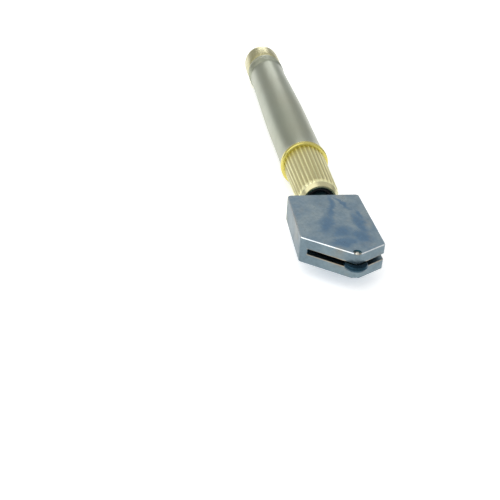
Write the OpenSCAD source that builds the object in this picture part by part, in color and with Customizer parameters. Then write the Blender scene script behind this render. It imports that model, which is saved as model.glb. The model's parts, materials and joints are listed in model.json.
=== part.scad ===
// Oil-feed glass cutter with a wide guide head.
// It lies on its side: +X runs from the filler cap to the cutting wheel, +Z is up,
// and the two wide faces of the head are level. All sizes are in millimetres.
// Stations along the tool are counted from the back edge of the head, and are
// negative towards the filler cap.

/* [Cutting head] */
// Width of the head across its two side faces
head_w = 19; // [18:0.5:21]
// Width of the head at its back edge
head_back_w = 18.6; // [17.6:0.2:19]
// Thickness of the head between its two guide faces
head_t = 6.6; // [6:0.1:8]
// Length of the left side face
head_left_len = 21.4; // [20:0.2:22]
// Length of the right side face
head_right_len = 25.4; // [24.4:0.2:26]
// Distance from the back edge to the tip of the head
tip_x = 29.9; // [29.5:0.1:30.5]
// Sideways offset of the tip and the wheel from the axis of the handle
tip_y = 2.1; // [1.5:0.1:2.5]
// Chamfer around the two guide faces
head_chamfer = 0.25; // [0.1:0.05:0.4]

/* [Cutting wheel] */
// Radius of the wheel at its cutting edge
wheel_r = 2.8; // [2.4:0.1:3]
// Thickness of the wheel
wheel_t = 1.1; // [0.8:0.05:1.2]
// Included angle of the cutting edge
wheel_edge_angle = 134; // [120:1:155]
// Distance from the back edge of the head to the wheel's axle
axle_x = 28.6; // [28.2:0.1:28.7]
// Radius of the wheel's axle
axle_r = 0.6; // [0.5:0.05:0.65]

/* [Wheel slot] */
// Width of the slot that holds the wheel
slot_w = 1.4; // [1.3:0.05:1.8]
// Radius of the round saw cut that makes the slot
slot_r = 13.6; // [13:0.1:14]
// Distance from the back edge of the head to the centre of the saw cut
slot_x = 31.6; // [31:0.1:32]

/* [Collar] */
// Width of the gap between the head and the nose of the collar
nose_gap = 2.6; // [2:0.1:3]
// Length of the fluted collar, from its nose to the plain ring
collar_len = 23.1; // [23:0.1:25]
// Radius of the collar behind its nose
collar_front_r = 5.5; // [5.3:0.05:5.7]
// Radius of the collar at the plain ring
collar_rear_r = 6.1; // [5.9:0.05:6.3]
// Radius of the mouth that the stem comes out of
mouth_r = 3.85; // [3.6:0.05:4]
// Number of flutes round the collar
flute_count = 30; // [24:1:32]
// Depth of each flute
flute_depth = 0.32; // [0.2:0.02:0.36]
// Width of the plain ring behind the collar
ring_w = 1.8; // [1.5:0.1:2]
// Radius of the plain ring
ring_r = 6.95; // [6.85:0.05:7]

/* [Handle] */
// Length of the barrel, from the plain ring to the filler cap
barrel_len = 90.5; // [85:0.5:100]
// Radius of the barrel at its waists
waist_r = 6.5; // [6.4:0.05:6.6]
// Radius of the barrel at its belly
belly_r = 6.75; // [6.65:0.05:6.9]
// Radius of the oil chamber
oil_r = 4.9; // [4.6:0.1:5]

/* [Filler cap] */
// Length of the cap behind the barrel
cap_len = 15.7; // [14:0.1:18]
// Largest radius of the cap
cap_r = 7; // [7:0.05:7.2]
// Length of the band of the cap that is a true cylinder
cap_land_len = 3; // [2:0.5:4]
// Length of the cap's threaded spigot
cap_spigot_len = 7; // [5:0.5:7]
// Radius of the cap's threaded spigot
cap_spigot_r = 4.35; // [4:0.05:4.4]

/* [Oil valve] */
// How far the head is pressed in to open the valve
press_travel = 1; // [0.5:0.1:1.2]
// Radius of the stem where it runs in the collar
stem_r = 2.75; // [2.7:0.05:2.8]
// Radius of the stem's oil bore
stem_bore_r = 1.1; // [0.8:0.05:1.2]
// Radius of the plunger's rod
rod_r = 1; // [0.8:0.05:1.1]
// Radius of the chamber that holds the valve
chamber_r = 3.6; // [3.55:0.05:3.7]
// Radius of the spring's wire
wire_r = 0.2; // [0.15:0.01:0.25]
// Number of turns in the spring
spring_turns = 7; // [5:1:9]

/* [Hidden] */

// Radial clearance of parts that turn or slide in each other
run_gap = 0.05;
// Radial clearance of parts that are pressed or screwed together
fit_gap = 0.02;

// Stations of the main shoulders
nose_x = -nose_gap;
ring_x = nose_x - collar_len;
barrel_x = ring_x - ring_w;
cap_x = barrel_x - barrel_len;
rear_x = cap_x - cap_len;
front_x = axle_x + wheel_r;

// Round recess about each end of the axle; it breaks through the rounded tip
axle_recess_r = 0.95;
axle_recess = 0.3;

// Stem: its spigot in the head, its two grooves and its inner end
stem_spigot_r = 2;
stem_spigot_len = 7;
stem_end_x = -17;
stem_groove_x = -8;
stem_groove_w = 1.1;
stem_groove_r = 2.05;
clip_x = -13;
clip_w = 0.5;
clip_r = 3.45;
clip_groove_r = 2.1;

// Collar: its bulging nose, its mouth, its guide bore and its spigot in the barrel
nose_len = 2.5;
nose_bulge_r = 8.5;
nose_slope = 15;
nose_sweep = 17.6;
lip_r = 0.3;
mouth_x = nose_x - 2.4;
guide_x = -12.45;
spigot_r = 5.2;
spigot_len = 12.3;
spigot_x = ring_x - spigot_len;
flute_tool_r = 0.62;

// Valve: stations of the plunger, the seat, the poppet and the spring's seat
plunger_x = stem_end_x - run_gap;
button_len = 1.25;
button_r = 2.6;
seat_x = plunger_x - button_len - press_travel - 0.7;
seat_w = 2.5;
seal_x = seat_x - seat_w - fit_gap;
seal_w = 1;
poppet_x = seal_x - seal_w - fit_gap;
poppet_w = 1.1;
poppet_r = 2.9;
hub_r = 1.7;
hub_len = 1.4;
rod_end_x = poppet_x - poppet_w - hub_len;
spring_r = 2.3;
spring_x = poppet_x - poppet_w - wire_r - fit_gap;
spring_end_x = -33;
retainer_w = 2;

// Barrel and cap: the filler mouth, its seal and the waist of the barrel
thread_r = cap_spigot_r + run_gap;
thread_len = 8;
seal_recess_r = 5.4;
seal_recess_len = 1;
cap_cord_r = 0.44;
collar_cord_r = 0.33;
cap_edge_r = 6.64;

// Directions, rounded corners and smooth curves
function unit(v) = v / norm(v);
function bisector(a, b, c) = unit(unit(a - b) + unit(c - b));
function half_angle(a, b, c) = acos(unit(a - b) * unit(c - b)) / 2;
function moved_in(a, b, c, by) = b + bisector(a, b, c) * by / sin(half_angle(a, b, c));
function turn_between(a, b) = ((b - a + 540) % 360) - 180;
function heading(v) = atan2(v[1], v[0]);
function arc(centre, r, from, sweep, steps) = [
    for (i = [0:steps]) centre + r * [cos(from + sweep * i / steps), sin(from + sweep * i / steps)]
];
function rounded_corner(a, b, c, r, steps) =
    let (centre = moved_in(a, b, c, r))
    let (reach = r / tan(half_angle(a, b, c)))
    let (from = heading(b + unit(a - b) * reach - centre))
    let (to = heading(b + unit(c - b) * reach - centre))
    arc(centre, r, from, turn_between(from, to), steps);
function rounded_outline(corners, radii, inset, steps) =
    let (n = len(corners))
    let (p = [for (i = [0:n - 1])
        moved_in(corners[(i + n - 1) % n], corners[i], corners[(i + 1) % n], inset)])
    [for (i = [0:n - 1])
        each rounded_corner(p[(i + n - 1) % n], p[i], p[(i + 1) % n], radii[i] - inset, steps)];
function between(a, b, c, d, t) =
    0.5 * (2 * b + (c - a) * t + (2 * a - 5 * b + 4 * c - d) * t * t
        + (3 * b - a - 3 * c + d) * t * t * t);
function smooth(p, steps) =
    let (last = len(p) - 1)
    [for (i = [0:last - 1]) for (j = [0:steps - 1])
        between(p[max(i - 1, 0)], p[i], p[i + 1], p[min(i + 2, last)], j / steps)];

// Outlines of turned parts are lists of [radius, station]
head_corners = [
    [0, -head_back_w / 2], [head_left_len, -head_w / 2], [tip_x, tip_y],
    [head_right_len, head_w / 2], [0, head_back_w / 2]
];
head_corner_radii = [0.9, 1, 2.2, 1, 0.9];
barrel_side = smooth([
    [6.8, barrel_x], [waist_r + 0.08, barrel_x - 3.2], [waist_r, barrel_x - 9],
    [6.6, barrel_x - 19], [belly_r, barrel_x - 32], [belly_r, barrel_x - 44],
    [6.63, barrel_x - 59], [waist_r + 0.01, barrel_x - 74], [waist_r + 0.02, barrel_x - 84],
    [cap_edge_r, cap_x]
], 6);
cap_land_x = cap_x - 7;
dome_len = cap_len - 7 - cap_land_len;
dome_power = 2.5;
cap_side = concat(
    smooth([[cap_edge_r, cap_x - fit_gap], [6.87, cap_x - 2], [6.97, cap_x - 4.4]], 5),
    [[cap_r, cap_land_x]]
);
cap_dome = [for (a = [0:7.5:82.5])
    [cap_r * pow(cos(a), 2 / dome_power), cap_land_x - cap_land_len
        - dome_len * pow(sin(a), 2 / dome_power)]];

// A turned part about the tool's axis
module turned(outline) {
    rotate([0, 90, 0])
        rotate_extrude($fn = 96)
            polygon(outline);
}

// A plain ring with both its outer edges broken
module plain_ring(front, width, outer, inner, edge) {
    turned([
        [inner, front], [outer - edge, front], [outer, front - edge],
        [outer, front - width + edge], [outer - edge, front - width], [inner, front - width]
    ]);
}

// A rod along the tool's axis
module rod(front, length, r) {
    translate([front - length, 0, 0])
        rotate([0, 90, 0])
            cylinder(r = r, h = length, $fn = 64);
}

// A round seal
module o_ring(station, mid_r, cord_r) {
    rotate([0, 90, 0])
        rotate_extrude($fn = 96)
            translate([mid_r, station])
                circle(r = cord_r, $fn = 32);
}

// The head's plate, with a chamfer round each guide face
module head_plate() {
    steps = 8;
    half = head_t / 2;
    wide = rounded_outline(head_corners, head_corner_radii, 0, steps);
    narrow = rounded_outline(head_corners, head_corner_radii, head_chamfer, steps);
    n = len(wide);
    levels = [[narrow, -half], [wide, head_chamfer - half], [wide, half - head_chamfer], [narrow, half]];
    points = [for (level = levels) for (p = level[0]) [p[0], p[1], level[1]]];
    sides = [for (k = [0:2]) for (i = [0:n - 1])
        [k * n + i, (k + 1) * n + i, (k + 1) * n + (i + 1) % n, k * n + (i + 1) % n]];
    bottom = [for (i = [0:n - 1]) i];
    top = [for (i = [n - 1:-1:0]) 3 * n + i];
    polyhedron(points, concat([bottom], sides, [top]));
}

module cutting_head() {
    color("lightslategray")
        difference() {
            head_plate();
            translate([slot_x, tip_y, -slot_w / 2])
                cylinder(r = slot_r, h = slot_w, $fn = 128);
            translate([axle_x, tip_y, -head_t])
                cylinder(r = axle_r + fit_gap, h = 2 * head_t, $fn = 48);
            for (side = [-1, 1])
                translate([axle_x, tip_y, side * head_t / 2 - axle_recess])
                    cylinder(r = axle_recess_r, h = 2 * axle_recess, $fn = 48);
            rod(stem_spigot_len + 0.3, stem_spigot_len + 1.3, stem_spigot_r + fit_gap);
            rod(slot_x - slot_r + 1, slot_x - slot_r + 1 - stem_spigot_len, 0.8);
        }
}

module wheel_axle() {
    end = head_t / 2 - 0.1;
    color("darkgray")
        translate([axle_x, tip_y, 0])
            rotate_extrude($fn = 48)
                polygon([
                    [0, -end], [axle_r - 0.3, -end + 0.04], [axle_r, -end + 0.25],
                    [axle_r, end - 0.25], [axle_r - 0.3, end - 0.04], [0, end]
                ]);
}

module cutting_wheel() {
    half = wheel_t / 2;
    face_r = wheel_r - half / tan(wheel_edge_angle / 2);
    color("darkslategray")
        translate([axle_x, tip_y, 0])
            rotate_extrude($fn = 96)
                polygon([
                    [axle_r + run_gap, -half], [face_r, -half], [wheel_r, 0],
                    [face_r, half], [axle_r + run_gap, half]
                ]);
}

module head_stem() {
    groove_end = stem_groove_x - stem_groove_w;
    clip_front = clip_x + run_gap;
    clip_back = clip_x - clip_w - run_gap;
    color("black")
        turned([
            [stem_bore_r, stem_spigot_len], [stem_spigot_r - 0.3, stem_spigot_len],
            [stem_spigot_r, stem_spigot_len - 0.3], [stem_spigot_r, -fit_gap], [stem_r, -fit_gap],
            [stem_r, stem_groove_x], [stem_groove_r, stem_groove_x], [stem_groove_r, groove_end],
            [stem_r, groove_end], [stem_r, clip_front], [clip_groove_r, clip_front],
            [clip_groove_r, clip_back], [stem_r, clip_back], [stem_r, stem_end_x + 0.3],
            [stem_r - 0.3, stem_end_x], [stem_bore_r, stem_end_x]
        ]);
}

module stem_o_ring() {
    cord_r = (stem_r - stem_groove_r) / 2 + 0.01;
    color("black")
        o_ring(stem_groove_x - stem_groove_w / 2, stem_groove_r + fit_gap + cord_r, cord_r);
}

module oil_wick() {
    color("beige")
        rod(stem_spigot_len - 0.5, stem_spigot_len - 0.5 - stem_end_x - 4, stem_bore_r - 0.1);
}

module retaining_clip() {
    color("dimgray")
        difference() {
            plain_ring(clip_x, clip_w, clip_r, clip_groove_r + run_gap, 0.08);
            translate([clip_x - clip_w / 2, 0, -clip_r])
                cube([2 * clip_w, 2.6, 2 * clip_r - 2], center = true);
        }
}

module thrust_washer() {
    color("goldenrod")
        plain_ring(guide_x - run_gap, guide_x - clip_x - 2 * run_gap, clip_r, stem_r + run_gap, 0.05);
}

module stem_wiper() {
    color("black")
        plain_ring(mouth_x + 1.6, 1.55, mouth_r - fit_gap, stem_r + 0.08, 0.25);
}

module collar_body() {
    groove_x = ring_x - ring_w - 1.5;
    groove_r = spigot_r - 2 * collar_cord_r - 0.02;
    nose_edge = [collar_front_r, nose_x - nose_len];
    nose_centre = nose_edge - nose_bulge_r * [cos(nose_slope), sin(nose_slope)];
    turned(concat(
        [[mouth_r, mouth_x]],
        arc([mouth_r + lip_r, nose_x - lip_r], lip_r, 180, -90, 5),
        arc(nose_centre, nose_bulge_r, nose_slope + nose_sweep, -nose_sweep, 6),
        [
            [collar_rear_r, ring_x],
            [spigot_r, ring_x], [spigot_r, groove_x], [groove_r, groove_x],
            [groove_r, groove_x - 0.9], [spigot_r, groove_x - 0.9],
            [spigot_r, spigot_x + 0.4], [spigot_r - 0.4, spigot_x],
            [chamber_r, spigot_x], [chamber_r, guide_x],
            [stem_r + run_gap, guide_x], [stem_r + run_gap, mouth_x]
        ]
    ));
}

module flute(turn) {
    rise = collar_rear_r - collar_front_r;
    run = nose_x - nose_len - ring_x;
    rotate([turn, 0, 0])
        translate([ring_x, 0, collar_rear_r - flute_depth + flute_tool_r])
            rotate([0, 90 + atan(rise / run), 0])
                cylinder(r = flute_tool_r, h = run + nose_len, $fn = 24);
}

module collar() {
    color("darkkhaki")
        difference() {
            collar_body();
            for (i = [0:flute_count - 1])
                flute(i * 360 / flute_count);
        }
}

module collar_o_ring() {
    color("black")
        o_ring(ring_x - ring_w - 1.95, spigot_r - collar_cord_r, collar_cord_r);
}

module collar_ring() {
    color("goldenrod")
        plain_ring(ring_x - fit_gap, ring_w - 2 * fit_gap, ring_r, spigot_r + fit_gap, 0.35);
}

module valve_plunger() {
    rod_start = plunger_x - button_len;
    color("khaki")
        difference() {
            union() {
                plain_ring(plunger_x, button_len, button_r, 0, 0.2);
                rod(rod_start, rod_start - rod_end_x, rod_r);
            }
            for (i = [0:2])
                rotate([i * 120 + 30, 0, 0])
                    translate([0, 0, button_r])
                        rod(plunger_x + 1, button_len + 1.2, 0.6);
            translate([plunger_x, 0, 0])
                cube([1, 2 * button_r + 1, 0.8], center = true);
        }
}

module valve_seat() {
    color("khaki")
        plain_ring(seat_x, seat_w, chamber_r - fit_gap, rod_r + 0.6, 0.15);
}

module valve_seal() {
    color("black")
        plain_ring(seal_x, seal_w, poppet_r - 0.1, rod_r + fit_gap, 0.1);
}

module valve_poppet() {
    back = poppet_x - poppet_w;
    color("khaki")
        turned([
            [rod_r + fit_gap, poppet_x], [poppet_r - 0.1, poppet_x], [poppet_r, poppet_x - 0.1],
            [poppet_r, back], [hub_r, back], [hub_r, rod_end_x + 0.2],
            [hub_r - 0.2, rod_end_x], [rod_r + fit_gap, rod_end_x]
        ]);
}

module valve_spring() {
    sides = 8;
    per_turn = 20;
    steps = spring_turns * per_turn;
    coil_len = spring_x - spring_end_x - wire_r;
    closed = 1 / spring_turns;
    pitch_len = coil_len - 4 * wire_r;
    function travel(t) = 2 * wire_r * min(t / closed, 1) + 2 * wire_r * max((t - 1 + closed) / closed, 0)
        + pitch_len * min(max((t - closed) / (1 - 2 * closed), 0), 1);
    function ring_point(i, j) =
        let (turn = i * 360 / per_turn)
        let (around = j * 360 / sides)
        let (r = spring_r + wire_r * cos(around))
        [spring_x - travel(i / steps) + wire_r * sin(around), r * cos(turn), r * sin(turn)];
    points = [for (i = [0:steps]) for (j = [0:sides - 1]) ring_point(i, j)];
    skin = [for (i = [0:steps - 1]) for (j = [0:sides - 1])
        [i * sides + j, i * sides + (j + 1) % sides,
            (i + 1) * sides + (j + 1) % sides, (i + 1) * sides + j]];
    first = [for (j = [sides - 1:-1:0]) j];
    last = [for (j = [0:sides - 1]) steps * sides + j];
    color("silver")
        polyhedron(points, concat([first], skin, [last]));
}

module spring_retainer() {
    color("khaki")
        difference() {
            plain_ring(spring_end_x, retainer_w, chamber_r - fit_gap, 1.5, 0.15);
            translate([spring_end_x - retainer_w, 0, 0])
                cube([1.2, 2 * chamber_r, 0.9], center = true);
        }
}

module handle_barrel() {
    bore_r = spigot_r + run_gap;
    bore_end = spigot_x - 0.4;
    color("lightgray")
        turned(concat(
            barrel_side,
            [
                [cap_edge_r, cap_x], [seal_recess_r, cap_x],
                [seal_recess_r, cap_x + seal_recess_len], [thread_r, cap_x + seal_recess_len],
                [thread_r, cap_x + thread_len], [oil_r, cap_x + thread_len + 0.6],
                [oil_r, bore_end - 0.4], [bore_r, bore_end], [bore_r, barrel_x]
            ]
        ));
}

module cap_o_ring() {
    color("black")
        o_ring(cap_x + cap_cord_r + fit_gap, cap_spigot_r + run_gap + cap_cord_r, cap_cord_r);
}

module filler_cap() {
    tip = cap_x + cap_spigot_len;
    color("gold")
        turned(concat(
            [
                [0, tip], [cap_spigot_r - 0.5, tip], [cap_spigot_r, tip - 0.5],
                [cap_spigot_r, cap_x - fit_gap]
            ],
            cap_side,
            cap_dome,
            [[0, rear_x]]
        ));
}

// Stands the tool on the surface that it lies on, with its origin under its middle
module placed() {
    translate([-(rear_x + front_x) / 2, 0, cap_r])
        children();
}

placed() cutting_head();
placed() wheel_axle();
placed() cutting_wheel();
placed() head_stem();
placed() stem_o_ring();
placed() oil_wick();
placed() retaining_clip();
placed() thrust_washer();
placed() stem_wiper();
placed() collar();
placed() collar_o_ring();
placed() collar_ring();
placed() valve_plunger();
placed() valve_seat();
placed() valve_seal();
placed() valve_poppet();
placed() valve_spring();
placed() spring_retainer();
placed() handle_barrel();
placed() cap_o_ring();
placed() filler_cap();
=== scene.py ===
"""The looks of an oil-feed glass cutter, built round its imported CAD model.

Stations along the tool are in millimetres from the back edge of the head, negative
towards the filler cap, as in the CAD model. Everything is turned into metres on the way out.
"""
import json
import math

import bmesh
import bpy
from mathutils import Matrix, Vector


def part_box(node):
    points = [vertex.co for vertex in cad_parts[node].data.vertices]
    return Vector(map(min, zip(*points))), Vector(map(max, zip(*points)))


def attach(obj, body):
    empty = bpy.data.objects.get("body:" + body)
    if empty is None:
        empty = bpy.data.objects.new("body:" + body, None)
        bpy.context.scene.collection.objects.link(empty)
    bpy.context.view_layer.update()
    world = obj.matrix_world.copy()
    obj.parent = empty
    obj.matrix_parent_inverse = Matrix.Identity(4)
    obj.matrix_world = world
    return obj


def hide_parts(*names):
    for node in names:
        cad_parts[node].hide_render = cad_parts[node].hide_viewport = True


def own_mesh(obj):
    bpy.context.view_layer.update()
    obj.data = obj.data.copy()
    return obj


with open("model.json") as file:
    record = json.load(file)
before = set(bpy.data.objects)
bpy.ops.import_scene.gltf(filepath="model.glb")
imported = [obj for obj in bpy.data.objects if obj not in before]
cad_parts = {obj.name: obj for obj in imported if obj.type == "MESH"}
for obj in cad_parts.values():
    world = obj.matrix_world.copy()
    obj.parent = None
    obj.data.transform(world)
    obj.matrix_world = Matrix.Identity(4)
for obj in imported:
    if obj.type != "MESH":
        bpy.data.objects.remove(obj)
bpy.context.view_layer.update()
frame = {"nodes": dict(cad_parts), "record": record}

MM = 0.001
AXIS_HEIGHT = sum(corner.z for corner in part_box("handle_barrel")) / 2 / MM
HEAD_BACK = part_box("cutting_head")[0].x / MM


# ---------------------------------------------------------------- sizes from the frame

def span(node):
    """The lowest and highest station of a CAD node."""
    low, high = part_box(node)
    return low.x / MM - HEAD_BACK, high.x / MM - HEAD_BACK


def radius(node):
    """The largest radius of a CAD node about the tool's axis."""
    low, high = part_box(node)
    return (high.z - low.z) / 2 / MM


def height(node):
    """How tall a CAD node stands."""
    low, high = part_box(node)
    return (high.z - low.z) / MM


# ---------------------------------------------------------------- outlines

def rounded(corners, steps=4, closed=True):
    """Rounds an outline's corners. A corner is (x, y) or (x, y, rounding radius).

    It returns (x, y, worn) points, where worn is 1 on a rounded corner and 0 elsewhere.
    """
    points = []
    for i, corner in enumerate(corners):
        at_end = not closed and i in (0, len(corners) - 1)
        if len(corner) < 3 or at_end:
            points.append((corner[0], corner[1], 0.0))
            continue
        here = Vector(corner[:2])
        before = Vector(corners[i - 1][:2]) - here
        after = Vector(corners[(i + 1) % len(corners)][:2]) - here
        half = before.angle(after) / 2
        reach = min(corner[2] / math.tan(half), 0.48 * before.length, 0.48 * after.length)
        r = reach * math.tan(half)
        bisector = (before.normalized() + after.normalized()).normalized()
        centre = here + bisector * math.hypot(reach, r)
        first = here + before.normalized() * reach - centre
        last = here + after.normalized() * reach - centre
        sweep = math.atan2(first.x * last.y - first.y * last.x, first.dot(last))
        start = math.atan2(first.y, first.x)
        for k in range(steps + 1):
            angle = start + sweep * k / steps
            points.append((centre.x + r * math.cos(angle), centre.y + r * math.sin(angle), 1.0))
    return points


def smooth(knots, steps):
    """A smooth curve through knots, as (x, y, 0) points."""
    points = []
    for i in range(len(knots) - 1):
        a, b = knots[max(i - 1, 0)], knots[i]
        c, d = knots[i + 1], knots[min(i + 2, len(knots) - 1)]
        for k in range(steps):
            t = k / steps
            x, y = (
                0.5 * (2 * q + (r - p) * t + (2 * p - 5 * q + 4 * r - s) * t * t
                       + (3 * q - p - 3 * r + s) * t ** 3)
                for p, q, r, s in zip(a, b, c, d)
            )
            points.append((x, y, 0.0))
    points.append((*knots[-1], 0.0))
    return points


# ---------------------------------------------------------------- meshes

SHARP_DEG = 35


def along_x(r, angle, station):
    """The place at a radius and an angle about the tool's axis; angle 0 points up."""
    return Vector((HEAD_BACK + station, r * math.sin(angle), AXIS_HEIGHT + r * math.cos(angle)))


def finish_mesh(name, verts, faces, wear=None):
    """A smooth-shaded object from points in millimetres, with its steep edges kept sharp."""
    mesh = bpy.data.meshes.new(name)
    mesh.from_pydata([v * MM for v in verts], [], faces)
    if wear:
        mesh.attributes.new("wear", "FLOAT", "POINT").data.foreach_set("value", wear)
    work = bmesh.new()
    work.from_mesh(mesh)
    bmesh.ops.recalc_face_normals(work, faces=work.faces)
    work.to_mesh(mesh)
    work.free()
    mesh.shade_smooth()
    mesh.set_sharp_from_angle(angle=math.radians(SHARP_DEG))
    piece = bpy.data.objects.new(name, mesh)
    bpy.context.scene.collection.objects.link(piece)
    return piece


def lathe(name, profile, segments=144, carve=None, place=along_x, closed=True):
    """Turns a profile of (radius, station, worn) points about an axis.

    carve(angle, radius, station, worn) gives a point of the surface another radius and wear.
    A closed profile comes back to its first point, and an open one starts and ends on the axis.
    """
    verts, wear, rings, faces = [], [], [], []
    for r, station, worn in profile:
        count = segments if r > 1e-6 else 1
        rings.append([len(verts) + k for k in range(count)])
        for k in range(count):
            angle = 2 * math.pi * k / segments
            shaped = (r, worn) if carve is None or count == 1 else carve(angle, r, station, worn)
            verts.append(place(shaped[0], angle, station))
            wear.append(shaped[1])
    pairs = list(zip(rings, rings[1:])) + ([(rings[-1], rings[0])] if closed else [])
    for low, high in pairs:
        if len(low) == len(high) == 1:
            continue
        for k in range(segments):
            n = (k + 1) % segments
            face = [low[k % len(low)], low[n % len(low)], high[n % len(high)], high[k % len(high)]]
            faces.append(list(dict.fromkeys(face)))
    return finish_mesh(name, verts, faces, wear)


def keep(piece, body, slot, *nodes, materials):
    """Says what a piece moves with, what it is made of and which CAD nodes it stands for."""
    for material in materials:
        piece.data.materials.append(material)
    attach(piece, body)
    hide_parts(*nodes)
    return piece


# ---------------------------------------------------------------- material building blocks

def new_material(name, **settings):
    """A material whose shader sockets hold the given values. It returns (material, tree, shader)."""
    material = bpy.data.materials.new(name)
    material.use_nodes = True
    tree = material.node_tree
    shader = tree.nodes["Principled BSDF"]
    for socket, value in settings.items():
        shader.inputs[socket.replace("_", " ")].default_value = value
    return material, tree, shader


def noise(tree, size_mm, stretch=(1, 1, 1), detail=3.0, rough=0.55):
    """Noise whose blotches are about size_mm across, times stretch along each axis."""
    coords = tree.nodes.new("ShaderNodeTexCoord")
    mapping = tree.nodes.new("ShaderNodeMapping")
    mapping.inputs["Scale"].default_value = [1 / (s * size_mm * MM) for s in stretch]
    texture = tree.nodes.new("ShaderNodeTexNoise")
    texture.inputs["Scale"].default_value = 1.0
    texture.inputs["Detail"].default_value = detail
    texture.inputs["Roughness"].default_value = rough
    tree.links.new(coords.outputs["Object"], mapping.inputs["Vector"])
    tree.links.new(mapping.outputs["Vector"], texture.inputs["Vector"])
    return texture.outputs["Fac"]


def warped_place(tree, size_mm, shift_mm):
    """Object coordinates pushed about by noise, so that a shape drawn on them gets a ragged edge."""
    coords = tree.nodes.new("ShaderNodeTexCoord").outputs["Object"]
    texture = tree.nodes.new("ShaderNodeTexNoise")
    texture.inputs["Scale"].default_value = 1 / (size_mm * MM)
    texture.inputs["Detail"].default_value = 4.0
    texture.inputs["Roughness"].default_value = 0.65
    tree.links.new(coords, texture.inputs["Vector"])
    shift = tree.nodes.new("ShaderNodeVectorMath")
    shift.operation = "MULTIPLY_ADD"
    shift.inputs[1].default_value = [shift_mm * MM] * 3
    shift.inputs[2].default_value = [-shift_mm * MM / 2] * 3
    tree.links.new(texture.outputs["Color"], shift.inputs[0])
    total = tree.nodes.new("ShaderNodeVectorMath")
    total.operation = "ADD"
    tree.links.new(coords, total.inputs[0])
    tree.links.new(shift.outputs[0], total.inputs[1])
    return total.outputs[0]


def blotch(tree, place, centre, size, turn_deg):
    """An oval patch on the head: 1 at its centre, 0 from its edge outwards. Sizes in mm."""
    mapping = tree.nodes.new("ShaderNodeMapping")
    mapping.vector_type = "TEXTURE"
    mapping.inputs["Location"].default_value = (
        (HEAD_BACK + centre[0]) * MM, centre[1] * MM, AXIS_HEIGHT * MM)
    mapping.inputs["Rotation"].default_value = (0, 0, math.radians(turn_deg))
    mapping.inputs["Scale"].default_value = (size[0] * MM, size[1] * MM, 1.0)
    gradient = tree.nodes.new("ShaderNodeTexGradient")
    gradient.gradient_type = "SPHERICAL"
    tree.links.new(place, mapping.inputs["Vector"])
    tree.links.new(mapping.outputs["Vector"], gradient.inputs["Vector"])
    return gradient.outputs["Fac"]


def ramp(tree, factor, stops):
    """Turns a value into a colour or grey through (position, colour) stops."""
    node = tree.nodes.new("ShaderNodeValToRGB")
    while len(node.color_ramp.elements) < len(stops):
        node.color_ramp.elements.new(0.5)
    for element, (position, colour) in zip(node.color_ramp.elements, stops):
        grey = isinstance(colour, (int, float))
        element.position = position
        element.color = (colour, colour, colour, 1) if grey else (*colour, 1)
    tree.links.new(factor, node.inputs["Fac"])
    return node.outputs["Color"]


def mix(tree, factor, first, second, blend="MIX"):
    """Mixes two colours, each a socket or an (r, g, b)."""
    node = tree.nodes.new("ShaderNodeMix")
    node.data_type = "RGBA"
    node.blend_type = blend
    for socket, value in ((node.inputs[0], factor), (node.inputs[6], first), (node.inputs[7], second)):
        if isinstance(value, (int, float)):
            socket.default_value = value
        elif isinstance(value, tuple):
            socket.default_value = (*value, 1)
        else:
            tree.links.new(value, socket)
    return node.outputs[2]


def maths(tree, operation, first, second=0.0):
    """Works out a value from two others, each a socket or a number. Sums and products are clamped."""
    node = tree.nodes.new("ShaderNodeMath")
    node.operation = operation
    node.use_clamp = operation in ("MULTIPLY", "ADD")
    for socket, value in zip(node.inputs, (first, second)):
        if isinstance(value, (int, float)):
            socket.default_value = value
        else:
            tree.links.new(value, socket)
    return node.outputs[0]


def attribute(tree, name):
    """A value stored on a piece's points; 0 on a piece that has none."""
    node = tree.nodes.new("ShaderNodeAttribute")
    node.attribute_name = name
    return node.outputs["Fac"]


def bump(tree, shader, layers):
    """Stacks (height, depth in mm, strength) layers of relief on a shader."""
    normal = None
    for value, depth_mm, strength in layers:
        node = tree.nodes.new("ShaderNodeBump")
        node.inputs["Distance"].default_value = depth_mm * MM
        node.inputs["Strength"].default_value = strength
        tree.links.new(value, node.inputs["Height"])
        if normal:
            tree.links.new(normal, node.inputs["Normal"])
        normal = node.outputs["Normal"]
    tree.links.new(normal, shader.inputs["Normal"])


def tangent_round_x(tree, shader):
    """Stretches a shader's highlights across lines turned round the tool's axis."""
    node = tree.nodes.new("ShaderNodeTangent")
    node.direction_type = "RADIAL"
    node.axis = "X"
    tree.links.new(node.outputs[0], shader.inputs["Tangent"])


# ---------------------------------------------------------------- materials

# Fine lines round the tool's axis: noise squeezed along it.
TURNED = (0.05, 1, 1)
EVEN = (1, 1, 1)


def satin_nickel():
    """Nickel plate over brass, brushed round the barrel and a little stained by use."""
    material, tree, shader = new_material("satin_nickel", Metallic=1.0, Anisotropic=0.35)
    stain = ramp(tree, noise(tree, 16, (2.5, 1, 1), 4), [(0.38, 0.0), (0.72, 1.0)])
    clean = mix(tree, noise(tree, 5, (3, 1, 1), 5), (0.36, 0.395, 0.30), (0.415, 0.445, 0.35))
    warm = mix(tree, maths(tree, "MULTIPLY", stain, 0.6), clean, (0.37, 0.355, 0.235))
    tree.links.new(mix(tree, attribute(tree, "wear"), warm, (0.50, 0.47, 0.36)),
                   shader.inputs["Base Color"])
    rings = noise(tree, 1.6, TURNED, 2)
    smears = noise(tree, 7, (2, 1, 1), 4, 0.65)
    blend = mix(tree, 0.35, smears, rings)
    tree.links.new(ramp(tree, blend, [(0.3, 0.3), (0.7, 0.42)]), shader.inputs["Roughness"])
    bump(tree, shader, [(rings, 0.003, 0.2), (noise(tree, 0.35, EVEN, 2), 0.002, 0.12)])
    tangent_round_x(tree, shader)
    return material


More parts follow.
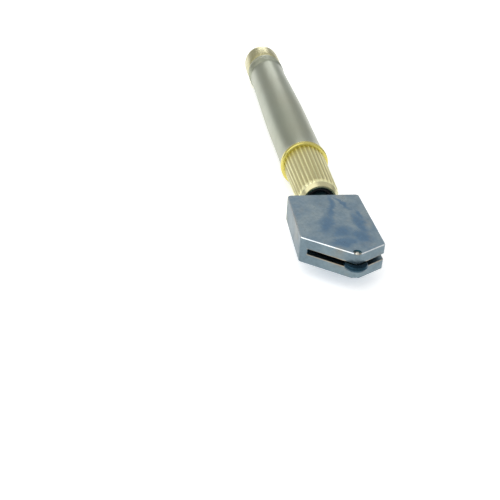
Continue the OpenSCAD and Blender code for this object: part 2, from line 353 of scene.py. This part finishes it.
def brass(name, base, tarnish_and_shade, roughness, grain=1.0):
    """Bright brass with painted shade darkening its grooves, duller in them, and brighter on its worn
    edges.
    """
    material, tree, shader = new_material(name, Metallic=1.0, Anisotropic=0.2)
    tarnish = ramp(tree, noise(tree, 2.2, EVEN, 5, 0.65), [(0.42, 0.0), (0.78, 1.0)])
    body = mix(tree, maths(tree, "MULTIPLY", tarnish, 0.55), base, tarnish_and_shade)
    worn = mix(tree, attribute(tree, "wear"), body, tuple(min(1, c * 1.12) for c in base))
    # painted shade: the flutes' grooves are darkened towards two thirds of the tarnished colour, the
    # deeper the darker
    groove_shade = mix(tree, attribute(tree, "groove"), worn, tuple(c * 0.66 for c in tarnish_and_shade))
    tree.links.new(groove_shade, shader.inputs["Base Color"])
    lines = noise(tree, 1.2, TURNED, 2)
    spread = maths(tree, "ADD", maths(tree, "MULTIPLY", lines, 0.12),
                   maths(tree, "MULTIPLY", tarnish, 0.14))
    dull = maths(tree, "ADD", spread, maths(tree, "MULTIPLY", attribute(tree, "groove"), 0.15))
    tree.links.new(maths(tree, "ADD", dull, roughness), shader.inputs["Roughness"])
    bump(tree, shader, [(lines, 0.002, 0.2 * grain),
                        (noise(tree, 0.4, EVEN, 2), 0.001, 0.12 * grain)])
    tangent_round_x(tree, shader)
    return material


def plated_steel(name, light, blue, stain, rough, grind=None, streaks=()):
    """Blue-grey bright plating with cloudy patches and a few smudges.

    grind is how the ground lines stretch. A streak is the (centre, size, turn in degrees) of a
    bluer patch on the guide faces, with its centre measured from the head's back edge.
    """
    material, tree, shader = new_material(name, Metallic=1.0)
    clouds = ramp(tree, noise(tree, 5.5, EVEN, 4, 0.6), [(0.36, 0.0), (0.62, 1.0)])
    fine = noise(tree, 0.7, EVEN, 4, 0.7)
    colour = mix(tree, maths(tree, "MULTIPLY", clouds, 0.45 if streaks else 1.0), light, blue)
    smudges = ramp(tree, noise(tree, 7, (1.4, 0.8, 1), 5, 0.6), [(0.54, 0.0), (0.68, 1.0)])
    colour = mix(tree, maths(tree, "MULTIPLY", smudges, 0.65), colour, stain)
    if streaks:
        place = warped_place(tree, 3.0, 4.0)
        patch = 0.0
        for centre, size, turn_deg in streaks:
            patch = maths(tree, "MAXIMUM", blotch(tree, place, centre, size, turn_deg), patch)
        uneven_edge = maths(tree, "MULTIPLY", patch, ramp(tree, fine, [(0.2, 0.5), (0.8, 1.0)]))
        patch = ramp(tree, uneven_edge, [(0.04, 0.0), (0.5, 1.0)])
        colour = mix(tree, maths(tree, "MULTIPLY", patch, 0.9), colour, blue)
    speckle = ramp(tree, fine, [(0.3, 0.82), (0.7, 1.08)])
    tree.links.new(mix(tree, 1.0, colour, speckle, "MULTIPLY"), shader.inputs["Base Color"])
    lines = noise(tree, 1.5, grind or (1, 0.06, 1), 3)
    uneven = mix(tree, 0.5, clouds, fine)
    tree.links.new(ramp(tree, mix(tree, 0.4, uneven, lines), [(0.25, rough), (0.8, rough + 0.16)]),
                   shader.inputs["Roughness"])
    bump(tree, shader, [(lines, 0.002, 0.25), (noise(tree, 0.9, EVEN, 3), 0.004, 0.3)])
    return material


def dark_metal(name, base, shine, rough):
    """Dark steel or carbide with fine turned or ground lines."""
    material, tree, shader = new_material(name, Metallic=1.0, IOR=2.0)
    spots = noise(tree, 1.2, EVEN, 4)
    tree.links.new(mix(tree, spots, base, shine), shader.inputs["Base Color"])
    lines = noise(tree, 0.6, TURNED, 2)
    tree.links.new(ramp(tree, lines, [(0.3, rough), (0.7, rough + 0.15)]), shader.inputs["Roughness"])
    bump(tree, shader, [(lines, 0.002, 0.3)])
    return material


def rubber():
    """Black sealing rubber with a fine grain."""
    material, tree, shader = new_material("nitrile_rubber", Specular_IOR_Level=0.4)
    grain = noise(tree, 0.15, EVEN, 3)
    tree.links.new(mix(tree, grain, (0.012, 0.013, 0.015), (0.03, 0.031, 0.034)),
                   shader.inputs["Base Color"])
    tree.links.new(ramp(tree, grain, [(0.3, 0.5), (0.7, 0.68)]), shader.inputs["Roughness"])
    bump(tree, shader, [(grain, 0.006, 0.4)])
    return material


def cotton():
    """Twisted cotton: ridges that wind round the wick."""
    material, tree, shader = new_material("cotton_wick", Roughness=0.9, Sheen_Weight=0.4)
    fibres = noise(tree, 0.2, (3, 1, 1), 4)
    tree.links.new(mix(tree, fibres, (0.62, 0.55, 0.40), (0.88, 0.83, 0.70)),
                   shader.inputs["Base Color"])
    bump(tree, shader, [(fibres, 0.03, 0.6)])
    return material


def floor_material():
    """A pale floor that shines a little, so that it stays near white under soft light."""
    material, tree, shader = new_material("pale_floor", Roughness=0.6, Specular_IOR_Level=0.25,
                                          Emission_Color=(1, 1, 1, 1), Emission_Strength=0.42)
    tree.links.new(mix(tree, noise(tree, 60, EVEN, 3), (0.95, 0.95, 0.95), (0.97, 0.97, 0.97)),
                   shader.inputs["Base Color"])
    return material


NICKEL = satin_nickel()
# brass: name, base colour, tarnished colour (also the base of the painted shade in the grooves),
# roughness and how coarse its relief is
BRASS = brass("polished_brass", (0.97, 0.91, 0.53), (0.82, 0.74, 0.37), 0.22)
# painted shade: a darker copy of the collar's brass for the smooth nose, which tones its highlight down
NOSE_BRASS_SHADED = brass("nose_brass_shaded", (0.56, 0.53, 0.32), (0.40, 0.35, 0.16), 0.2, 0.6)
RING_BRASS = brass("ring_brass", (0.60, 0.53, 0.15), (0.42, 0.34, 0.08), 0.16)
CAP_BRASS = brass("cap_brass", (0.55, 0.51, 0.25), (0.43, 0.40, 0.20), 0.2, 0.3)
TURNED_BRASS = brass("turned_brass", (0.84, 0.72, 0.38), (0.58, 0.46, 0.20), 0.22)
BLUE_STREAKS = (
    ((7, 0.6), (10, 1.2), -12), ((15.5, -2.0), (7, 2.4), -14), ((5, 4.0), (5, 0.9), 20),
    ((16, 5.8), (8, 2.0), 2), ((21.5, 4.8), (6, 3.4), -6), ((24.0, 0.4), (3.0, 6.0), 14),
    ((11, 6.8), (3.5, 0.8), 10), ((19.5, 0.8), (4, 4), 0),
)
# plated steel: name, light, blue and stained colours, and roughness
HEAD_FACE = plated_steel("head_face", (0.315, 0.40, 0.44), (0.115, 0.22, 0.345), (0.34, 0.36, 0.345),
                         0.26, streaks=BLUE_STREAKS)
# painted shade: the side faces take a darker copy of the head's plating, ground upright
HEAD_SIDE_SHADED = plated_steel("head_side_shaded", (0.20, 0.265, 0.295), (0.165, 0.225, 0.26), (0.24, 0.24, 0.21),
                         0.3, (1, 1, 0.05))
HEAD_EDGE = plated_steel("head_edge", (0.90, 0.93, 0.93), (0.74, 0.79, 0.82), (0.60, 0.58, 0.52), 0.08)
SLOT_LIP = plated_steel("slot_lip", (0.50, 0.45, 0.34), (0.34, 0.33, 0.29), (0.42, 0.28, 0.15), 0.28)
# dark metal: name, base colour, brighter spots and roughness
SLOT_WALL = dark_metal("slot_wall", (0.025, 0.15, 0.24), (0.05, 0.19, 0.29), 0.35)
# painted light and reflection: black steel lifted and tinted teal, standing in for the head's blue
# reflected on the stem deep in the collar's mouth
BLACK_STEEL_PAINTED_SHEEN = dark_metal("black_steel", (0.05, 0.13, 0.17), (0.08, 0.18, 0.23), 0.25)
CARBIDE = dark_metal("carbide", (0.018, 0.05, 0.08), (0.035, 0.085, 0.12), 0.2)
BRIGHT_STEEL = dark_metal("bright_steel", (0.52, 0.51, 0.45), (0.66, 0.64, 0.55), 0.2)
RUBBER = rubber()
COTTON = cotton()


# ---------------------------------------------------------------- barrel and filler cap

THREAD_PITCH = 1.0
THREAD_DEPTH = 0.32
THREAD_RUN_OUT = 0.6
SEAM_R = 6.64


def thread(first, last, sign):
    """Carves a screw thread between two stations: sign 1 cuts into the wall of a bore.

    It shapes every surface between them, so on the barrel the outside is carved as well.
    """
    def carve(angle, r, station, worn):
        if not first < station < last:
            return r, worn
        phase = (station / THREAD_PITCH + angle / (2 * math.pi)) % 1
        depth = THREAD_DEPTH * min(1, max(0, 3.2 * abs(phase - 0.5) - 0.25))
        run_out = min(1, (station - first) / THREAD_RUN_OUT, (last - station) / THREAD_RUN_OUT)
        return r + sign * depth * run_out, worn
    return carve


def thread_stations(first, last, r):
    """Closely spaced points for a threaded wall, from first to last."""
    rows_per_pitch = 14
    count = round(abs(last - first) / THREAD_PITCH * rows_per_pitch)
    return [(r, first + (last - first) * k / count, 0.0) for k in range(count + 1)]


def make_barrel():
    """The hollow handle, with two waists, a belly and a threaded mouth at its rear."""
    rear, front = span("handle_barrel")
    ring_side = radius("handle_barrel")
    waist, belly = 6.5, 6.75
    outside = smooth([
        (ring_side, front), (waist + 0.08, front - 3.2), (waist, front - 9), (6.6, front - 19),
        (belly, front - 32), (belly, front - 44), (6.63, front - 59), (waist + 0.01, front - 74),
        (waist + 0.02, front - 84), (SEAM_R, rear)
    ], 12)[1:-1]
    mouth, chamber, socket, seal_seat = 4.4, 4.9, 5.25, 5.4
    mouth_len, seat_len, socket_len, cone_len = 8.0, 1.0, 10.9, 0.4
    thread_rear = rear + seat_len + 0.6
    thread_front = rear + mouth_len - 0.2
    profile = (
        rounded([(socket, front), (ring_side, front, 0.12), outside[0][:2]], closed=False)[:-1]
        + outside
        + rounded([outside[-1][:2], (SEAM_R, rear, 0.14), (seal_seat, rear, 0.08),
                   (seal_seat, rear + seat_len), (mouth, rear + seat_len, 0.1),
                   (mouth, thread_rear - 0.1)], closed=False)[1:]
        + thread_stations(thread_rear, thread_front, mouth)
        + [(mouth, rear + mouth_len, 0.0), (chamber, rear + mouth_len + 0.6, 0.0),
           (chamber, front - socket_len - cone_len, 0.0), (socket, front - socket_len, 0.0)]
    )
    piece = lathe("barrel", profile, 160, thread(thread_rear, thread_front, 1))
    return keep(piece, "handle", "nickel_plated_brass", "handle_barrel", materials=[NICKEL])


def make_filler_cap():
    """The bulged end cap, with a domed end and a threaded spigot."""
    rear, tip = span("filler_cap")
    seam_gap = 0.02
    edge = span("handle_barrel")[0] - seam_gap
    spigot, crest = 4.35, radius("filler_cap")
    side_len, land_len, dome_power, dome_steps = 7, 3.0, 2.5, 24
    thread_rear, thread_front = edge + 1.3, tip - 0.5
    land = edge - side_len
    dome_len = land - land_len - rear
    side = smooth([(SEAM_R, edge), (6.87, edge - 2), (6.97, edge - 4.4), (crest, land)], 8)
    dome = []
    for k in range(dome_steps + 1):
        a = math.radians(90 * k / dome_steps)
        dome.append((crest * math.cos(a) ** (2 / dome_power) if k < dome_steps else 0.0,
                     land - land_len - dome_len * math.sin(a) ** (2 / dome_power), 0.0))
    profile = (
        [(0.0, tip, 0.0)]
        + rounded([(0, tip), (spigot - 0.4, tip, 0.1), (spigot, tip - 0.4)], closed=False)[1:]
        + thread_stations(thread_front, thread_rear, spigot)
        + rounded([(spigot, thread_rear - 0.1), (spigot, edge, 0.1), (SEAM_R, edge, 0.14),
                   side[1][:2]], closed=False)[1:-1]
        + side[1:]
        + dome
    )
    piece = lathe("cap", profile, 160, thread(thread_rear, thread_front, -1), closed=False)
    return keep(piece, "cap", "polished_brass", "filler_cap", materials=[CAP_BRASS])


# ---------------------------------------------------------------- collar and its ring

FLUTES = 30
FLUTE_DEPTH = 0.32
FLUTE_TOOL = 0.62
FLUTE_EDGE = 0.035
LAND_WEAR = 0.7


def make_collar():
    """The fluted collar: a tapered grip, a bulged smooth nose and the stem's bore."""
    inner_end, nose = span("collar")
    ring_rear = span("collar_ring")[0]
    ring_front = span("collar_ring")[1] + 0.02
    front_r, rear_r = 5.5, 6.1
    mouth, bore, chamber, spigot = 3.85, 2.8, 3.6, 5.2
    nose_len, nose_bulge, nose_slope, nose_sweep, lip = 2.5, 8.5, 15, 17.6, 0.3
    mouth_len, chamber_front, nose_steps, rows = 2.4, -12.45, 24, 30
    shoulder = nose - nose_len
    centre = (front_r - nose_bulge * math.cos(math.radians(nose_slope)),
              shoulder - nose_bulge * math.sin(math.radians(nose_slope)))
    nose_side = []
    for k in range(nose_steps + 1):
        a = math.radians(nose_slope + nose_sweep * (1 - k / nose_steps))
        nose_side.append((centre[0] + nose_bulge * math.cos(a),
                          centre[1] + nose_bulge * math.sin(a), 0.0))
    side = [(front_r + (rear_r - front_r) * k / rows, shoulder + (ring_front - shoulder) * k / rows, 0.0)
            for k in range(1, rows + 1)]
    profile = (
        rounded([(mouth, nose - mouth_len), (mouth, nose, lip), nose_side[0][:2]], closed=False)[:-1]
        + nose_side + side
        + [(spigot, ring_front, 0.0), (spigot, inner_end, 0.0), (chamber, inner_end, 0.0),
           (chamber, chamber_front, 0.0), (bore, chamber_front, 0.0), (bore, nose - mouth_len, 0.0)]
    )
    slope = (rear_r - front_r) / (shoulder - ring_front)

    def flute(angle, r, station, worn):
        """Cuts the flutes with a round tool, and marks the lands between them as worn."""
        if not ring_front - 0.01 <= station < nose - lip or r < mouth + lip:
            return r, worn
        turn = angle % (2 * math.pi / FLUTES)
        turn = min(turn, 2 * math.pi / FLUTES - turn)
        axis_r = front_r + slope * (shoulder - station) - FLUTE_DEPTH + FLUTE_TOOL
        reach = FLUTE_TOOL ** 2 - (axis_r * math.sin(turn)) ** 2
        if reach <= 0:
            return r, LAND_WEAR
        floor_r = axis_r * math.cos(turn) - math.sqrt(reach)
        eased = 0.5 * (floor_r + r - math.hypot(floor_r - r, FLUTE_EDGE)) + FLUTE_EDGE * 0.18
        return min(eased, r), max(0.0, LAND_WEAR - max(0.0, r - floor_r) / 0.1)

    piece = lathe("fluted_collar", profile, FLUTES * 16, flute)
    smooth_nose = shoulder + 1.0
    # the smooth nose gets the darker copy of the brass, as painted shade
    for face in piece.data.polygons:
        if face.center.x / MM - HEAD_BACK > smooth_nose:
            face.material_index = 1
    # groove depth drives the painted shade in the flutes
    add_groove_depth(piece, lambda s: front_r + slope * (shoulder - s), shoulder, ring_front)
    return keep(piece, "handle", "polished_brass", "collar", materials=[BRASS, NOSE_BRASS_SHADED])


def add_groove_depth(piece, surface_r, first, last):
    """Stores how deep each point lies in a flute, for the painted shade and the duller finish in the
    grooves.
    """
    mesh = piece.data
    depth = []
    outside_r = 5
    for vertex in mesh.vertices:
        x, y, z = vertex.co / MM
        station = x - HEAD_BACK
        r = math.hypot(y, z - AXIS_HEIGHT)
        inside = last - 0.01 < station < first and r > outside_r
        depth.append(min(1, max(0, (surface_r(station) - r) / FLUTE_DEPTH)) if inside else 0.0)
    mesh.attributes.new("groove", "FLOAT", "POINT").data.foreach_set("value", depth)


def make_collar_ring():
    """The plain rounded ring between the barrel and the flutes."""
    rear, front = span("collar_ring")
    r = radius("collar_ring")
    hole = 5.22
    profile = rounded([(hole, rear), (r, rear, 0.45), (r, front, 0.45), (hole, front, 0.1)], 6)
    piece = lathe("plain_ring", profile, 160)
    return keep(piece, "handle", "polished_brass", "collar_ring", materials=[RING_BRASS])


# ---------------------------------------------------------------- stem and its wiper

def make_stem():
    """The black stem, with grooves for its seal ring and its clip."""
    inner_end, tip = span("head_stem")
    r, spigot, bore = radius("head_stem"), 1.98, 1.1
    seal_r, seal_front, seal_rear = 2.05, -8, -9.1
    clip_r, clip_front, clip_rear = 2.1, -12.95, -13.55
    step = -0.02
    profile = rounded([
        (bore, tip), (spigot, tip, 0.25), (spigot, step), (r, step),
        (r, seal_front), (seal_r, seal_front, 0.1), (seal_r, seal_rear, 0.1), (r, seal_rear, 0.08),
        (r, clip_front, 0.08), (clip_r, clip_front), (clip_r, clip_rear), (r, clip_rear, 0.08),
        (r, inner_end, 0.25), (bore, inner_end)
    ])
    piece = lathe("stem", profile, 96)
    return keep(piece, "head", "black_steel", "head_stem", materials=[BLACK_STEEL_PAINTED_SHEEN])


def make_wiper():
    """The rubber wiper in the collar's mouth, with a raised lip."""
    rear, front = span("stem_wiper")
    r, hole = radius("stem_wiper"), 2.83
    profile = rounded([
        (hole, rear), (r, rear, 0.2), (r, front, 0.25), (r - 0.35, front, 0.1),
        (r - 0.55, front - 0.3, 0.1), (hole, front - 0.15, 0.06)
    ])
    piece = lathe("wiper", profile, 96)
    return keep(piece, "handle", "nitrile_rubber", "stem_wiper", materials=[RUBBER])


# ---------------------------------------------------------------- head, wheel and axle

AXLE = sum(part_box("wheel_axle"), Vector()) / 2 / MM
HEAD_HALF = height("cutting_head") / 2
SLOT_HALF = 0.7
CHAMFER = 0.17
RECESS_R = 0.95
RECESS_DEPTH = 0.3
EDGE_DEG = 30


def along_axle(r, angle, station):
    """The place at a radius and an angle about the upright wheel axle."""
    return Vector((AXLE.x + r * math.cos(angle), AXLE.y + r * math.sin(angle), AXIS_HEIGHT + station))


def column(name, r, low, high, x, y, sides):
    """A plain upright cylinder, used to cut the head."""
    ring = [(x + r * math.cos(2 * math.pi * k / sides), y + r * math.sin(2 * math.pi * k / sides))
            for k in range(sides)]
    return prism(name, ring, low, high)


def prism(name, ring, low, high):
    """An upright prism, with its height measured from the tool's axis."""
    n = len(ring)
    verts = [Vector((p[0], p[1], AXIS_HEIGHT + z)) for z in (low, high) for p in ring]
    faces = [[k, (k + 1) % n, n + (k + 1) % n, n + k] for k in range(n)]
    faces += [list(range(n)), list(range(n, 2 * n))]
    return finish_mesh(name, verts, faces)


def inset(ring, depth):
    """Moves each point of an outline, listed anticlockwise, inwards by depth."""
    moved = []
    for i, point in enumerate(ring):
        here = Vector(point[:2])
        before = (here - Vector(ring[i - 1][:2])).normalized()
        after = (Vector(ring[(i + 1) % len(ring)][:2]) - here).normalized()
        inwards = Vector((-before.y - after.y, before.x + after.x))
        here += inwards * (2 * depth / inwards.length_squared)
        moved.append((here.x, here.y))
    return moved


def chamfered_prism(name, ring, half, chamfer):
    """An upright prism about the tool's axis, with chamfered top and bottom outlines."""
    n = len(ring)
    small = inset(ring, chamfer)
    levels = ((small, -half), (ring, chamfer - half), (ring, half - chamfer), (small, half))
    verts = [Vector((p[0], p[1], AXIS_HEIGHT + z)) for outline, z in levels for p in outline]
    faces = [[k * n + i, k * n + (i + 1) % n, (k + 1) * n + (i + 1) % n, (k + 1) * n + i]
             for k in range(3) for i in range(n)]
    faces += [list(range(n)), list(range(3 * n, 4 * n))]
    return finish_mesh(name, verts, faces)


def bake_modifiers(piece):
    """Replaces a piece's mesh by the result of its modifiers."""
    bpy.context.view_layer.update()
    done = piece.evaluated_get(bpy.context.evaluated_depsgraph_get())
    mesh = bpy.data.meshes.new_from_object(done)
    piece.modifiers.clear()
    piece.data = mesh


def cut(piece, tool):
    """Takes the tool's shape out of a piece, and then removes the tool."""
    modifier = piece.modifiers.new("cut", "BOOLEAN")
    modifier.operation = "DIFFERENCE"
    modifier.solver = "EXACT"
    modifier.object = tool
    bake_modifiers(piece)
    bpy.data.objects.remove(tool)


def weight_edges(mesh):
    """Marks the slot's edges for a bevel, apart from those next to the axle."""
    work = bmesh.new()
    work.from_mesh(mesh)
    bmesh.ops.remove_doubles(work, verts=work.verts, dist=0.005 * MM)
    bmesh.ops.dissolve_limit(work, angle_limit=math.radians(0.5), verts=work.verts, edges=work.edges)
    layer = work.edges.layers.float.new("bevel_weight_edge")
    for edge in work.edges:
        if len(edge.link_faces) != 2 or edge.calc_face_angle() < math.radians(EDGE_DEG):
            continue
        first, second = (vertex.co / MM for vertex in edge.verts)
        middle = (first + second) / 2
        level = abs(middle.z - AXIS_HEIGHT)
        upright = (first.xy - second.xy).length < 0.001
        on_slot = abs(level - SLOT_HALF) < 0.01 or (upright and level < 0.01)
        from_axle = (middle.xy - AXLE.xy).length
        edge[layer] = 1.0 if on_slot and from_axle > 1.6 else 0.0
    work.to_mesh(mesh)
    work.free()


def head_material_index(face, corners):
    """0 guide face, 1 side face, 2 worn edge, 3 edge of the slot or of an axle recess, 4 inside."""
    centre = face.center / MM
    z = abs(centre.z - AXIS_HEIGHT)
    reach = max(abs(corner.z / MM - AXIS_HEIGHT) for corner in corners)
    from_axle = Vector((centre.x - AXLE.x, centre.y - AXLE.y))
    faces_axle = from_axle.length < RECESS_R + 0.1 and from_axle.dot(face.normal.xy) < 0
    if z > HEAD_HALF - 0.02 and abs(face.normal.z) > 0.99:
        return 0
    if from_axle.length < RECESS_R + 0.05 and z > HEAD_HALF - 0.4 and abs(face.normal.z) > 0.2:
        return 3
    if z > HEAD_HALF - RECESS_DEPTH and abs(face.normal.z) > 0.15:
        return 2
    if z < SLOT_HALF + 0.12 and 0.15 < abs(face.normal.z) < 0.97:
        return 3
    if reach < SLOT_HALF + 0.02 or faces_axle:
        return 4
    return 1


def head_block():
    """The head's five-sided block, with rounded corners and unequal sides, before it is cut."""
    low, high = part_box("cutting_head")
    half_w = (high.y - low.y) / 2 / MM
    back_half, left_len, right_len, tip_len = 9.3, 21.4, 25.4, 29.9
    back_round, side_round, tip_round = 0.9, 1.0, 2.2
    outline = rounded([
        (HEAD_BACK, -back_half, back_round), (HEAD_BACK + left_len, -half_w, side_round),
        (HEAD_BACK + tip_len, AXLE.y, tip_round), (HEAD_BACK + right_len, half_w, side_round),
        (HEAD_BACK, back_half, back_round)
    ], 10)
    return chamfered_prism("head", outline, HEAD_HALF, CHAMFER)


def cut_openings(head):
    """Saws the wheel's slot and bores the axle hole, its recesses, the stem socket and oil way."""
    saw_x, saw_r, hole_r = HEAD_BACK + 31.6, 13.6, 0.64
    socket_r, socket_len, oil_r, oil_len, cone_len = 2.01, 7.3, 0.8, 19, 0.6
    cut(head, column("saw", saw_r, -SLOT_HALF, SLOT_HALF, saw_x, AXLE.y, 160))
    cut(head, column("axle_hole", hole_r, -5, 5, AXLE.x, AXLE.y, 48))
    for side in (-1, 1):
        ends = sorted((side * (HEAD_HALF - RECESS_DEPTH), side * (HEAD_HALF + 1)))
        cut(head, column("recess", RECESS_R, *ends, AXLE.x, AXLE.y, 48))
    cut(head, lathe("socket", [
        (0, -1, 0), (socket_r, -1, 0), (socket_r, socket_len, 0), (oil_r, socket_len + cone_len, 0),
        (oil_r, oil_len, 0), (0, oil_len, 0)
    ], 48, closed=False))


def bevel_marked_edges(piece):
    """Bevels the edges that weight_edges has marked."""
    bevel = piece.modifiers.new("bevel", "BEVEL")
    bevel.limit_method = "WEIGHT"
    bevel.width = CHAMFER * MM
    bevel.segments = 1
    bevel.use_clamp_overlap = False
    bake_modifiers(piece)


def flatten_normals(piece):
    """Keeps a machined piece's flat faces flat and its steep edges sharp."""
    piece.data.set_sharp_from_angle(angle=math.radians(EDGE_DEG))
    weighted = piece.modifiers.new("normals", "WEIGHTED_NORMAL")
    weighted.weight = 100
    weighted.keep_sharp = True
    bake_modifiers(piece)


def make_head():
    """The plated cutting head, with a material for each kind of surface."""
    head = head_block()
    cut_openings(head)
    weight_edges(head.data)
    bevel_marked_edges(head)
    for face in head.data.polygons:
        corners = [head.data.vertices[i].co for i in face.vertices]
        face.material_index = head_material_index(face, corners)
        face.use_smooth = face.material_index != 2
    flatten_normals(head)
    return keep(head, "head", "plated_steel", "cutting_head",
                materials=[HEAD_FACE, HEAD_SIDE_SHADED, HEAD_EDGE, SLOT_LIP, SLOT_WALL])


def make_wheel():
    """The carbide cutting wheel, ground to a fine edge."""
    half = height("cutting_wheel") / 2
    low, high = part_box("cutting_wheel")
    r = (high.x - low.x) / 2 / MM
    hole, edge_deg = 0.65, 134
    face_r = r - half / math.tan(math.radians(edge_deg / 2))
    profile = rounded([
        (hole, -half, 0.06), (face_r, -half, 0.05), (r, 0, 0.015), (face_r, half, 0.05),
        (hole, half, 0.06)
    ], 3)
    piece = lathe("wheel", profile, 128, place=along_axle)
    return keep(piece, "wheel", "carbide", "cutting_wheel", materials=[CARBIDE])


def make_axle():
    """The wheel's axle, with a domed end at each guide face."""
    end = height("wheel_axle") / 2
    r, dome_r, dome_drop, side_drop = 0.6, 0.3, 0.03, 0.25
    profile = rounded([
        (0, -end), (dome_r, -end + dome_drop, 0.3), (r, -end + side_drop, 0.12),
        (r, end - side_drop, 0.12), (dome_r, end - dome_drop, 0.3), (0, end)
    ], closed=False)
    piece = lathe("axle", profile, 64, place=along_axle, closed=False)
    return keep(piece, "head", "bright_steel", "wheel_axle", materials=[BRIGHT_STEEL])


# ---------------------------------------------------------------- valve spring

def make_spring():
    """The valve's coil spring, built at one length; the real spring shortens as the valve opens."""
    fixed_end, free_end = span("valve_spring")
    wire, turns, per_turn, sides = 0.2, 7, 40, 12
    coil_r = radius("valve_spring") - wire
    steps = turns * per_turn
    open_len = free_end - fixed_end - 6 * wire
    verts, faces = [], []
    for i in range(steps + 1):
        turn = i / per_turn
        travel = 2 * wire * (min(turn, 1) + max(turn - turns + 1, 0))
        travel += open_len * min(max((turn - 1) / (turns - 2), 0), 1)
        angle = math.pi / 2 - 2 * math.pi * turn
        for j in range(sides):
            around = 2 * math.pi * j / sides
            verts.append(along_x(coil_r + wire * math.cos(around), angle,
                                 free_end - wire - travel + wire * math.sin(around)))
    for i in range(steps):
        for j in range(sides):
            n = (j + 1) % sides
            faces.append([i * sides + j, i * sides + n, (i + 1) * sides + n, (i + 1) * sides + j])
    faces += [list(range(sides)), list(range(steps * sides, (steps + 1) * sides))]
    piece = finish_mesh("spring", verts, faces)
    keep(piece, "handle", "bright_steel", "valve_spring", materials=[BRIGHT_STEEL])
    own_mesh(piece)


# ---------------------------------------------------------------- the other hidden parts

INNER = {
    "turned_brass": TURNED_BRASS, "bright_steel": BRIGHT_STEEL, "nitrile_rubber": RUBBER,
    "cotton_wick": COTTON
}


def dress_inner_parts():
    """Gives each inside part that keeps its CAD shape its material."""
    slots = {part["node"]: part["material_slot"] for part in frame["record"]["subparts"]}
    for node, shown in frame["nodes"].items():
        if slots[node] in INNER:
            shown.data.materials.clear()
            shown.data.materials.append(INNER[slots[node]])


# ---------------------------------------------------------------- stage, light and camera

def make_floor():
    """A floor wide enough to fill every view."""
    reach = 6.0 / MM
    corners = [Vector((x * reach, y * reach, 0)) for x, y in ((-1, -1), (1, -1), (1, 1), (-1, 1))]
    floor = finish_mesh("floor", corners, [[0, 1, 2, 3]])
    floor.data.materials.append(floor_material())


def make_world():
    """A soft studio: grey near the floor, then brighter walls and ceiling."""
    world = bpy.data.worlds.new("studio")
    bpy.context.scene.world = world
    world.use_nodes = True
    tree = world.node_tree
    coords = tree.nodes.new("ShaderNodeTexCoord")
    split = tree.nodes.new("ShaderNodeSeparateXYZ")
    tree.links.new(coords.outputs["Generated"], split.inputs[0])
    sky = ramp(tree, split.outputs["Z"], [
        (0.0, (0.46, 0.47, 0.47)), (0.22, (0.41, 0.42, 0.42)), (0.31, (0.42, 0.43, 0.43)),
        (0.40, (0.72, 0.72, 0.72)), (0.55, (0.84, 0.84, 0.84)), (0.80, (0.72, 0.72, 0.72))
    ])
    tree.links.new(sky, tree.nodes["Background"].inputs["Color"])
    tree.nodes["Background"].inputs["Strength"].default_value = 1.0


def soft_box(name, place, target, size, power):
    """A rectangular lamp that points at a target. Metres and watts."""
    data = bpy.data.lights.new(name, "AREA")
    data.shape = "RECTANGLE"
    data.size, data.size_y = size
    data.energy = power
    light = bpy.data.objects.new(name, data)
    light.location = place
    light.rotation_euler = (Vector(target) - Vector(place)).to_track_quat("-Z", "Y").to_euler()
    bpy.context.scene.collection.objects.link(light)


def make_camera():
    """A camera in front of the head and above it, looking back along the handle."""
    data = bpy.data.cameras.new("camera")
    data.lens = 50.3
    data.sensor_width = 36
    data.clip_start = 0.01
    place = Vector((0.2090, -0.0385, 0.0895))
    forward = Vector((-0.8512, 0.1089, -0.5134))
    roll = math.radians(2.28)
    level = forward.to_track_quat("-Z", "Y").to_matrix()
    camera = bpy.data.objects.new("camera", data)
    camera.matrix_world = Matrix.Translation(place) @ (level @ Matrix.Rotation(roll, 3, "Z")).to_4x4()
    bpy.context.scene.collection.objects.link(camera)
    bpy.context.scene.camera = camera


make_camera()
make_floor()
make_world()
soft_box("key", (0.15, -0.55, 0.75), (0.0, 0.0, 0.0), (1.2, 1.2), 4.0)
soft_box("low_card", (-0.33, 0.025, 0.070), (-0.08, 0.0, 0.014), (0.07, 0.02), 0.026)

make_barrel()
make_filler_cap()
make_collar()
make_collar_ring()
make_stem()
make_wiper()
make_head()
make_wheel()
make_axle()
make_spring()
dress_inner_parts()

bpy.context.scene.view_settings.view_transform = "Standard"
